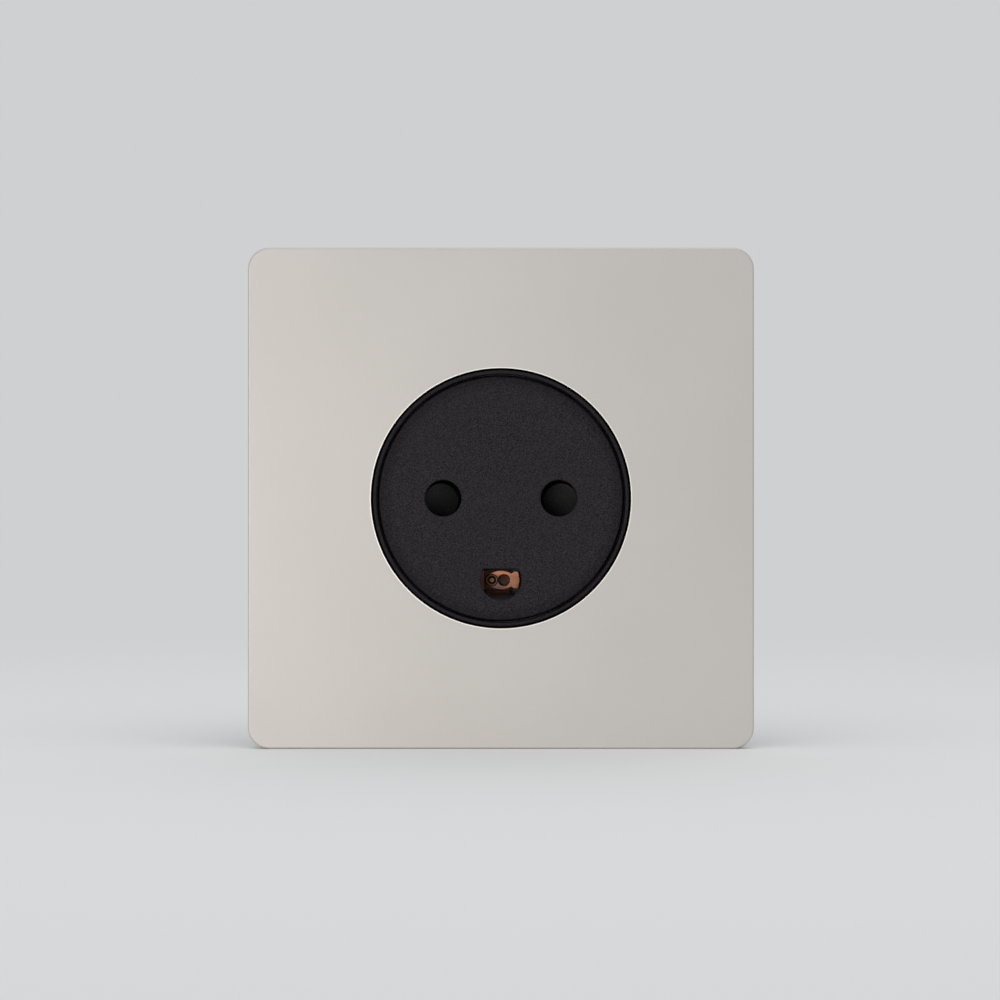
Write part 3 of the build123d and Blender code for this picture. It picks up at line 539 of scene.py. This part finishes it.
def strip_metal(
    slot, colour, tarnish, tarnish_share, roughness, along_x=0.0, edge=0.06 * MM, shade=None, oxidised=False
):
    """Rolled strip: streaks, clouds of tarnish, bright rubbed edges, painted shade in the tarnish's colour
    where a mask is given and, if oxidised, a dull skin.
    """
    material, tree, shader = start_material(slot)
    lines = effect(tree, rolled_streaks_group, Along_X=along_x)
    hands = effect(tree, handling_group, Size=2.6 * MM)
    edges = effect(tree, worn_edges_group, Radius=edge)
    streaked = blend_colours(tree, lines["Streak"], opaque(colour, 0.9), opaque(colour, 1.08))
    clouds = maths(tree, "MULTIPLY", hands["Haze"], tarnish_share)
    tarnished = blend_colours(tree, clouds, streaked, opaque(tarnish))
    worn = maths(tree, "MULTIPLY", edges["Wear"], 0.6)
    rubbed = blend_colours(tree, worn, tarnished, opaque(colour, 1.4))
    # painted shade: the mask blends towards the tarnish's colour; where it stays low on a bright base colour,
    # that colour shows as painted light
    if shade:
        rubbed = blend_colours(tree, shade(tree), rubbed, opaque(tarnish))
    feed(tree, shader.inputs["Base Color"], rubbed)
    dull = spread(tree, hands["Haze"], 0, 1, roughness - 0.05, roughness + 0.1)
    feed(tree, shader.inputs["Roughness"], polished(tree, dull, worn, 0.12))
    if oxidised:
        feed(tree, shader.inputs["Metallic"], spread(tree, hands["Haze"], 0, 1, 0.45, 0.2))
        shader.inputs["Specular IOR Level"].default_value = 0.12
    else:
        shader.inputs["Metallic"].default_value = 1.0
    bump(tree, shader, lines["Height"], 0.003 * MM, edges["Normal"])
    return material


def rolled_head(tree):
    """Painted shade in the groove round the rivet's stub: about half on the mandrel's stub, 1 from its edge
    across the groove and least on the rolled rim.
    """
    stub_middle, groove_edge = 0.4 * MM, 0.78 * MM
    low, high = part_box("earth_rivet")
    reach = distance_from(tree, (low + high) / 2)
    groove = spread(tree, reach, stub_middle, stub_middle + 0.15 * MM, 0.55, 1)
    rim = spread(tree, reach, groove_edge, groove_edge + 0.06 * MM, 1, 0.25)
    return maths(tree, "MULTIPLY", groove, rim)


def near_rivet(tree):
    """Painted highlight and painted shade: least on the strip's upper edge, which stays bright, more on its
    face and 1 on the face at the riveted end.
    """
    fork_side, rivet_side = 2.0 * MM, -0.6 * MM
    # the top 0.4 mm keep a painted highlight; the painted shade is full from 1 mm below the top
    rubbed, dark = 0.4 * MM, 1.0 * MM
    point = coordinates(tree)
    along = spread(tree, point["X"], fork_side, rivet_side, 0.54, 1)
    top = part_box("earth_strip")[1].z
    down = spread(tree, point["Z"], top - rubbed, top - dark, 0.2, 1)
    return maths(tree, "MULTIPLY", along, down)


def away_from_pin(tree):
    """Near 1 on the earth clip's dull copper, and less where bright copper shows as painted light: a patch
    below the strip, the lower leaf and the flange.
    """
    patch_middle = (-0.6 * MM, 0, -15.2 * MM)
    patch_shape = (0.26, 0.0, 1.0)
    lit_top, flange_edge = -15.3 * MM, -2.65 * MM
    point = coordinates(tree)
    patch = spread(tree, distance_from(tree, patch_middle, patch_shape), 0.3 * MM, 0.65 * MM, 0, 0.6)
    above = spread(tree, point["Z"], lit_top - 0.2 * MM, lit_top, 0, 0.93)
    leaf = maths(tree, "MAXIMUM", patch, above)
    flange = spread(tree, point["X"], flange_edge - 0.15 * MM, flange_edge, 0.35, 1)
    return maths(tree, "MULTIPLY", leaf, flange)


def zinc_plate(finish):
    """Bright zinc on punched sheet: crystal patches, rolling lines, bright scratches and painted shade in the
    gap.
    """
    material, tree, shader = start_material("zinc_plate")
    lines = effect(tree, rolled_streaks_group, Along_X=1.0, Fineness=5000.0)
    hands = effect(tree, handling_group, Size=14 * MM)
    edges = effect(tree, worn_edges_group, Radius=0.12 * MM)
    crystals = node(tree, "ShaderNodeTexVoronoi", {"Scale": 420.0}, feature="F1")
    tree.links.new(place(tree), crystals.inputs["Vector"])
    crystal = node(tree, "ShaderNodeSeparateColor")
    tree.links.new(crystals.outputs["Color"], crystal.inputs["Color"])
    facets = blend_colours(tree, crystal.outputs["Red"], opaque(finish.zinc, 0.88), opaque(finish.zinc, 1.1))
    bluish = tinted(finish.zinc, (0.86, 0.94, 1.06))
    hazed = blend_colours(tree, maths(tree, "MULTIPLY", hands["Haze"], 0.6), facets, opaque(bluish))
    rubbed = maths(tree, "MAXIMUM", maths(tree, "MULTIPLY", edges["Wear"], 0.5), hands["Scratches"])
    bright = blend_colours(tree, rubbed, hazed, opaque(finish.zinc, 1.25))
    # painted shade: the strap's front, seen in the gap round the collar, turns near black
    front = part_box("mounting_strap")[0].y
    facing = spread(tree, coordinates(tree)["Y"], front + 0.1 * MM, front + 0.05 * MM)
    gap_shade = maths(tree, "MULTIPLY", collar_gap(tree), facing)
    feed(tree, shader.inputs["Base Color"], blend_colours(tree, gap_shade, bright, opaque(finish.zinc, 0.04)))
    feed(tree, shader.inputs["Roughness"], spread(tree, crystal.outputs["Green"], 0, 1, 0.34, 0.5))
    shader.inputs["Metallic"].default_value = 1.0
    bump(tree, shader, lines["Height"], 0.004 * MM, edges["Normal"])
    return material


# Pieces


def settings():
    """The socket's settings in this scene."""
    return bpy.context.scene.wall_socket


def wear(material, *nodes):
    """Gives solids of the frame a finish."""
    for name in nodes:
        piece = frame["nodes"][name]
        piece.data.materials.clear()
        piece.data.materials.append(material)


def start_piece(name):
    """Names the new active object and deselects everything else."""
    piece = bpy.context.active_object
    bpy.ops.object.select_all(action="DESELECT")
    piece.select_set(True)
    bpy.context.view_layer.objects.active = piece
    piece.name = piece.data.name = name
    return piece


def finish_piece(piece, material, slot, *replaced):
    """Gives a finished mesh its finish, a material named for its slot, and fixes it on the socket's body. The
    slot argument is not used.
    """
    piece.data.materials.clear()
    piece.data.materials.append(material)
    if replaced:
        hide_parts(*replaced)
    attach(piece, FIXED_BODY)


def draw_profile(name, points):
    """A line of vertices in the XZ plane, drawn point by point."""
    bpy.ops.object.select_all(action="DESELECT")
    bpy.ops.mesh.primitive_plane_add(size=MM, location=(0, 0, 0))
    piece = start_piece(name)
    bpy.ops.object.mode_set(mode="EDIT")
    bpy.ops.mesh.select_all(action="SELECT")
    bpy.ops.mesh.merge(type="CENTER")
    bpy.ops.transform.translate(value=(points[0][0], 0, points[0][1]))
    for before, after in zip(points, points[1:]):
        step = (after[0] - before[0], 0, after[1] - before[1])
        bpy.ops.mesh.extrude_vertices_move(TRANSFORM_OT_translate={"value": step})
    bpy.ops.object.mode_set(mode="OBJECT")
    return piece


def turn_about_z(piece, steps, pitch=0.0, turns=1):
    """Turns a profile about Z into a solid of revolution, or into a thread with a pitch."""
    screw = piece.modifiers.new("turn", "SCREW")
    screw.steps = screw.render_steps = steps
    screw.screw_offset = pitch
    screw.iterations = turns
    bpy.ops.object.modifier_apply(modifier=screw.name)
    close_mesh()


def close_mesh():
    """Merges doubles of the active mesh and turns its faces outwards."""
    bpy.ops.object.mode_set(mode="EDIT")
    bpy.ops.mesh.select_all(action="SELECT")
    bpy.ops.mesh.remove_doubles(threshold=MERGE_REACH)
    bpy.ops.mesh.normals_make_consistent(inside=False)
    bpy.ops.object.mode_set(mode="OBJECT")


def cut_off(height, above):
    """Cuts the active mesh level at a height and closes the cut."""
    bpy.ops.object.mode_set(mode="EDIT")
    bpy.ops.mesh.select_all(action="SELECT")
    bpy.ops.mesh.bisect(
        plane_co=(0, 0, height),
        plane_no=(0, 0, 1),
        use_fill=True,
        clear_outer=above,
        clear_inner=not above,
        threshold=CUT_REACH,
    )
    bpy.ops.object.mode_set(mode="OBJECT")


def combine(piece, other, operation):
    """Joins another solid to a piece, or cuts it out, and removes it."""
    bpy.ops.object.select_all(action="DESELECT")
    piece.select_set(True)
    bpy.context.view_layer.objects.active = piece
    step = piece.modifiers.new("combine", "BOOLEAN")
    step.operation = operation
    step.object = other
    bpy.ops.object.modifier_apply(modifier=step.name)
    bpy.data.objects.remove(other)


def cut_slot(piece, width, depth, length, top, turn):
    """Cuts a driver slot across the top of a screw head."""
    bpy.ops.object.select_all(action="DESELECT")
    bpy.ops.mesh.primitive_cube_add(size=1, location=(0, 0, top))
    cutter = start_piece("slot_cutter")
    cutter.scale = (length, width, 2 * depth)
    cutter.rotation_euler.z = turn
    bpy.ops.object.transform_apply(location=True, rotation=True, scale=True)
    combine(piece, cutter, "DIFFERENCE")


def turn_screw(name, head, shank, thread, pitch, slot_width, dome, turn):
    """A slotted screw on the Z axis: head = (radius, height) above zero, threaded shank below zero."""
    radius, height = head
    chamfer = dome / 3
    arc = [math.radians(angle) for angle in range(0, 91, 18)]
    crown = [(radius - dome + dome * math.cos(a), height - dome + dome * math.sin(a)) for a in arc]
    screw = draw_profile(name, [(0, 0), (radius - chamfer, 0), (radius, chamfer), *crown, (0, height)])
    turn_about_z(screw, HEAD_STEPS)
    cut_slot(screw, slot_width, depth=height / 2, length=3 * radius, top=height, turn=turn)
    root = thread - 0.6 * pitch
    flat = pitch / 8
    crest = [(thread, pitch / 2 - flat / 2), (thread, pitch / 2 + flat / 2)]
    tooth = [(root, 0), (root, flat), *crest, (root, pitch)]
    # half a step more than a whole number of steps, so that no corner lies on the cut
    lead = pitch * (THREAD_STEPS + 11.5) / THREAD_STEPS
    thread_piece = draw_profile(name + "_thread", [(x, z - shank - lead) for x, z in tooth])
    turn_about_z(thread_piece, THREAD_STEPS, pitch, math.ceil(shank / pitch) + SPARE_TURNS)
    inside_head = height / 5
    cut_off(inside_head, above=True)
    cut_off(-shank, above=False)
    close_mesh()
    combine(screw, thread_piece, "UNION")
    close_mesh()
    bpy.ops.object.shade_smooth_by_angle(angle=math.radians(32))
    return screw


def set_screws(screw, places):
    """Copies a screw to its places, heads towards the back, and applies each place to its own mesh."""
    made = []
    for name, seat in places.items():
        bpy.ops.object.select_all(action="DESELECT")
        screw.select_set(True)
        bpy.context.view_layer.objects.active = screw
        bpy.ops.object.duplicate(linked=False)
        copy = start_piece(name)
        copy.location = seat
        copy.rotation_euler.x = math.radians(-90)
        bpy.ops.object.transform_apply(location=True, rotation=True, scale=True)
        made.append(copy)
    bpy.data.objects.remove(screw)
    return made


def finish_screws(screws, group):
    """Plates the screws. The first one stands for the frame's whole group."""
    steel = strip_metal(
        "screw_steel",
        settings().finish.screw,
        tarnish=(0.33, 0.32, 0.27),
        tarnish_share=0.4,
        roughness=0.33,
        along_x=1.0,
    )
    first, *others = screws
    finish_piece(first, steel, "screw_steel", group)
    for screw in others:
        finish_piece(screw, steel, "screw_steel")


# Operators


class DressCoverPlate(bpy.types.Operator):
    """Gives the cover plate its satin nickel"""

    bl_idname = "wall_socket.dress_cover_plate"
    bl_label = "Cover plate"

    def execute(self, context):
        wear(satin_nickel(settings().finish), "cover_plate")
        return {"FINISHED"}


class DressMouldings(bpy.types.Operator):
    """Gives the moulded pieces their grains"""

    bl_idname = "wall_socket.dress_mouldings"
    bl_label = "Mouldings"

    def execute(self, context):
        finish = settings().finish
        face_grain = {"grain_size": finish.face_grain, "grain_depth": finish.face_grain_depth}
        face_sheen = {"roughness": 0.62, "gloss": 0.2, "contrast": 0.9}
        black = tinted(finish.moulding, (1.0, 0.92, 1.0))
        face = moulding(
            "face_moulding", black, **face_grain, **face_sheen, shade=face_rim, darkest=0.75, painted_light=pin_rubbed
        )
        wear(face, "socket_front")
        collar = [channel * finish.collar_shade for channel in black]
        carrier = moulding(
            "black_moulding", collar, **face_grain, **face_sheen, shade=collar_gap, darkest=0.1
        )
        wear(carrier, "plate_carrier")
        smooth = {"grain_size": 0.2 * MM, "grain_depth": 0.008 * MM, "roughness": 0.5, "gloss": 0.25}
        pads = moulding("pad_moulding", finish.shutter, **smooth, shade=deep_in_chamber, darkest=0.1)
        wear(pads, "shutter")
        wear(moulding("shutter_moulding", finish.shutter, **smooth), "shutter_guide")
        base_grain = {"grain_size": 0.2 * MM, "grain_depth": 0.004 * MM}
        base = moulding("base_moulding", finish.base, **base_grain, roughness=0.45, gloss=0.4)
        wear(base, "base")
        return {"FINISHED"}


class DressMetals(bpy.types.Operator):
    """Gives the strap, contacts and terminals their metals"""

    bl_idname = "wall_socket.dress_metals"
    bl_label = "Strap, contacts and terminals"

    def execute(self, context):
        finish = settings().finish
        wear(zinc_plate(finish), "mounting_strap")
        bronze = strip_metal(
            "contact_bronze", finish.bronze, tarnish=(0.30, 0.17, 0.09), tarnish_share=0.5, roughness=0.32
        )
        wear(bronze, "live_contact", "neutral_contact")
        copper = strip_metal(
            "earth_copper",
            # brighter than the record's copper, so that the strip's upper edge shows as a painted highlight
            tinted(finish.copper, (1.34, 1.1, 0.95)),
            tarnish=(0.2, 0.122, 0.1),
            tarnish_share=0.1,
            roughness=0.26,
            along_x=1.0,
            # wide rubbed edges: wear, and also painted highlights along the strip's outline
            edge=0.16 * MM,
            shade=near_rivet,
        )
        wear(copper, "earth_strip")
        # the clip's dull copper is its own colour; the bright copper base shows only as painted light where
        # the mask drops
        dull = strip_metal(
            "dull_copper",
            finish.copper,
            tarnish=finish.dull_copper,
            tarnish_share=0.5,
            roughness=0.42,
            shade=away_from_pin,
            oxidised=True,
        )
        wear(dull, "earth_contact", "earth_tail")
        brass = strip_metal(
            "terminal_brass", finish.brass, tarnish=(0.33, 0.22, 0.09), tarnish_share=0.4, roughness=0.3
        )
        wear(brass, "live_terminal", "neutral_terminal", "earth_terminal")
        rivet = strip_metal(
            "rivet_copper",
            finish.copper,
            # the near-black colour of the painted shade in the groove
            tarnish=(0.06, 0.04, 0.03),
            tarnish_share=0.3,
            roughness=0.3,
            shade=rolled_head,
        )
        wear(rivet, "earth_rivet")
        steel = strip_metal(
            "clip_steel", finish.spring, tarnish=(0.2, 0.19, 0.19), tarnish_share=0.4, roughness=0.3
        )
        wear(steel, "live_contact_spring", "neutral_contact_spring")
        return {"FINISHED"}


class WindShutterSpring(bpy.types.Operator):
    """Winds the shutter's coil spring with closed ends"""

    bl_idname = "wall_socket.wind_shutter_spring"
    bl_label = "Shutter spring"

    def execute(self, context):
        hardware = settings().hardware
        wire = hardware.spring_wire
        low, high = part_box("shutter_spring")
        middle = (low + high) / 2
        radius = (high.x - low.x - wire) / 2
        closed, working = hardware.spring_closed_turns, hardware.spring_turns
        foot, top = low.z + wire / 2, high.z - wire / 2
        rise = (top - foot - 2 * closed * wire) / working
        points_per_turn = 12
        # a cubic spline runs inside its control points by this share
        inside = (2 + math.cos(2 * math.pi / points_per_turn)) / 3
        total = working + 2 * closed
        count = round(total * points_per_turn) + 1
        bpy.ops.object.select_all(action="DESELECT")
        bpy.ops.curve.primitive_nurbs_path_add(radius=MM, location=(0, 0, 0))
        spring = start_piece("shutter_spring_coil")
        line = spring.data.splines[0]
        line.points.add(count - len(line.points))
        for index, point in enumerate(line.points):
            turned = total * index / (count - 1)
            below = min(turned, closed)
            above = max(turned - closed - working, 0)
            height = foot + wire * (below + above) + rise * (turned - below - above)
            angle = 2 * math.pi * turned
            x = radius / inside * math.cos(angle)
            y = middle.y + radius / inside * math.sin(angle)
            point.co = (x, y, height, 1)
        line.order_u = 4
        line.use_endpoint_u = True
        spring.data.resolution_u = 3
        spring.data.bevel_depth = wire / 2
        spring.data.bevel_resolution = 3
        spring.data.use_fill_caps = True
        bpy.ops.object.convert(target="MESH")
        close_mesh()
        bpy.ops.object.shade_smooth_by_angle(angle=math.radians(40))
        colour = settings().finish.spring
        steel = strip_metal(
            "spring_steel", colour, tarnish=(0.18, 0.17, 0.17), tarnish_share=0.35, roughness=0.26
        )
        finish_piece(spring, steel, "spring_steel", "shutter_spring")
        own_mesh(spring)
        return {"FINISHED"}


class TurnTerminalScrews(bpy.types.Operator):
    """Turns the three terminal screws and sets them in their cages"""

    bl_idname = "wall_socket.turn_terminal_screws"
    bl_label = "Terminal screws"

    def execute(self, context):
        hardware = settings().hardware
        low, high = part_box("terminal_screws")
        head = (hardware.terminal_head, hardware.terminal_head_height)
        shank = high.y - low.y - hardware.terminal_head_height
        screw = turn_screw(
            "terminal_screw",
            head,
            shank,
            hardware.terminal_thread,
            hardware.terminal_pitch,
            hardware.slot_width,
            dome=0.3 * MM,
            turn=math.radians(30),
        )
        places = {}
        for line in ("live", "neutral", "earth"):
            cage_low, cage_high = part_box(f"{line}_terminal")
            middle = (cage_low + cage_high) / 2
            places[f"terminal_screw_{line}"] = (middle.x, low.y + shank, middle.z)
        finish_screws(set_screws(screw, places), "terminal_screws")
        return {"FINISHED"}


class TurnHousingScrews(bpy.types.Operator):
    """Turns the two screws that hold the front and the base together"""

    bl_idname = "wall_socket.turn_housing_screws"
    bl_label = "Housing screws"

    def execute(self, context):
        hardware = settings().hardware
        low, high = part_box("housing_screws")
        head = (hardware.housing_head, hardware.housing_head_height)
        shank = high.y - low.y - hardware.housing_head_height
        screw = turn_screw(
            "housing_screw",
            head,
            shank,
            hardware.housing_thread,
            hardware.housing_pitch,
            hardware.slot_width,
            dome=0.6 * MM,
            turn=math.radians(65),
        )
        middle_z = (low.z + high.z) / 2
        places = {
            "housing_screw_left": (low.x + hardware.housing_head, low.y + shank, middle_z),
            "housing_screw_right": (high.x - hardware.housing_head, low.y + shank, middle_z),
        }
        finish_screws(set_screws(screw, places), "housing_screws")
        return {"FINISHED"}


# Stage


def softbox(name, location, size, power, colour=(1.0, 1.0, 1.0)):
    """A rectangular area light that faces the insert's centre."""
    bpy.ops.object.light_add(type="AREA", location=location)
    light = bpy.context.active_object
    light.name = name
    light.rotation_euler = (-Vector(location)).to_track_quat("-Z", "Y").to_euler()
    light.data.shape = "RECTANGLE"
    light.data.size, light.data.size_y = size
    light.data.energy = power
    light.data.color = colour


class SetStage(bpy.types.Operator):
    """Lays the pale floor and sets the lights and the camera"""

    bl_idname = "wall_socket.set_stage"
    bl_label = "Stage"

    def execute(self, context):
        stage = settings().stage
        self.lay_floor(stage, CAD_BOX[0][2])
        world = bpy.data.worlds.new("studio")
        world.use_nodes = True
        world.node_tree.nodes["Background"].inputs["Color"].default_value = opaque(stage.backdrop)
        context.scene.world = world
        softbox("key_softbox", KEY_PLACE, KEY_SIZE, stage.key_power, KEY_COLOUR)
        softbox("top_softbox", TOP_PLACE, TOP_SIZE, stage.top_power)
        distance = stage.view_width * stage.lens / SENSOR_WIDTH
        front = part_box("cover_plate")[0].y
        bpy.ops.object.camera_add(
            location=(CAMERA_X, front - distance, CAMERA_Z), rotation=(math.radians(90), 0, 0)
        )
        camera = context.active_object
        camera.name = "photo_camera"
        camera.data.lens = stage.lens
        camera.data.clip_start = 10 * MM
        context.scene.camera = camera
        context.scene.view_settings.view_transform = "Standard"
        return {"FINISHED"}

    def lay_floor(self, stage, height):
        """A wide disc that fades into the backdrop far from the socket."""
        bpy.ops.object.select_all(action="DESELECT")
        bpy.ops.mesh.primitive_circle_add(
            vertices=96, radius=FLOOR_RADIUS, fill_type="NGON", location=(0, 0, height)
        )
        floor = start_piece("floor")
        bpy.ops.object.transform_apply(location=True, rotation=True, scale=True)
        material, tree, shader = start_material("pale_floor")
        shader.inputs["Base Color"].default_value = opaque(stage.floor)
        shader.inputs["Roughness"].default_value = 0.9
        shader.inputs["Specular IOR Level"].default_value = 0.1
        distance = node(tree, "ShaderNodeVectorMath", operation="LENGTH")
        tree.links.new(place(tree), distance.inputs[0])
        far = node(tree, "ShaderNodeEmission", {"Color": opaque(stage.backdrop)})
        fade = node(tree, "ShaderNodeMixShader")
        tree.links.new(spread(tree, distance.outputs["Value"], FADE_FROM, FADE_TO), fade.inputs["Fac"])
        tree.links.new(shader.outputs["BSDF"], fade.inputs[1])
        tree.links.new(far.outputs["Emission"], fade.inputs[2])
        tree.links.new(fade.outputs["Shader"], tree.nodes["Material Output"].inputs["Surface"])
        floor.data.materials.append(material)


# Sidebar and registration


STEPS = (
    DressCoverPlate,
    DressMouldings,
    DressMetals,
    WindShutterSpring,
    TurnTerminalScrews,
    TurnHousingScrews,
    SetStage,
)


class SocketPanel(bpy.types.Panel):
    """Settings and steps of the wall socket"""

    bl_idname = "VIEW3D_PT_wall_socket"
    bl_label = "Wall Socket"
    bl_space_type = "VIEW_3D"
    bl_region_type = "UI"
    bl_category = "Wall Socket"

    def draw(self, context):
        for group in ("finish", "hardware", "stage"):
            values = getattr(context.scene.wall_socket, group)
            box = self.layout.box()
            box.label(text=group.capitalize())
            for name in values.__annotations__:
                box.prop(values, name)
        for step in STEPS:
            self.layout.operator(step.bl_idname)


CLASSES = (FinishSettings, HardwareSettings, StageSettings, SocketSettings, *STEPS, SocketPanel)


def register():
    for item in CLASSES:
        bpy.utils.register_class(item)
    bpy.types.Scene.wall_socket = bpy.props.PointerProperty(type=SocketSettings)


def unregister():
    del bpy.types.Scene.wall_socket
    for item in reversed(CLASSES):
        bpy.utils.unregister_class(item)


def main():
    register()
    for step in STEPS:
        area, name = step.bl_idname.split(".")
        getattr(getattr(bpy.ops, area), name)()


if __name__ == "__main__":
    main()
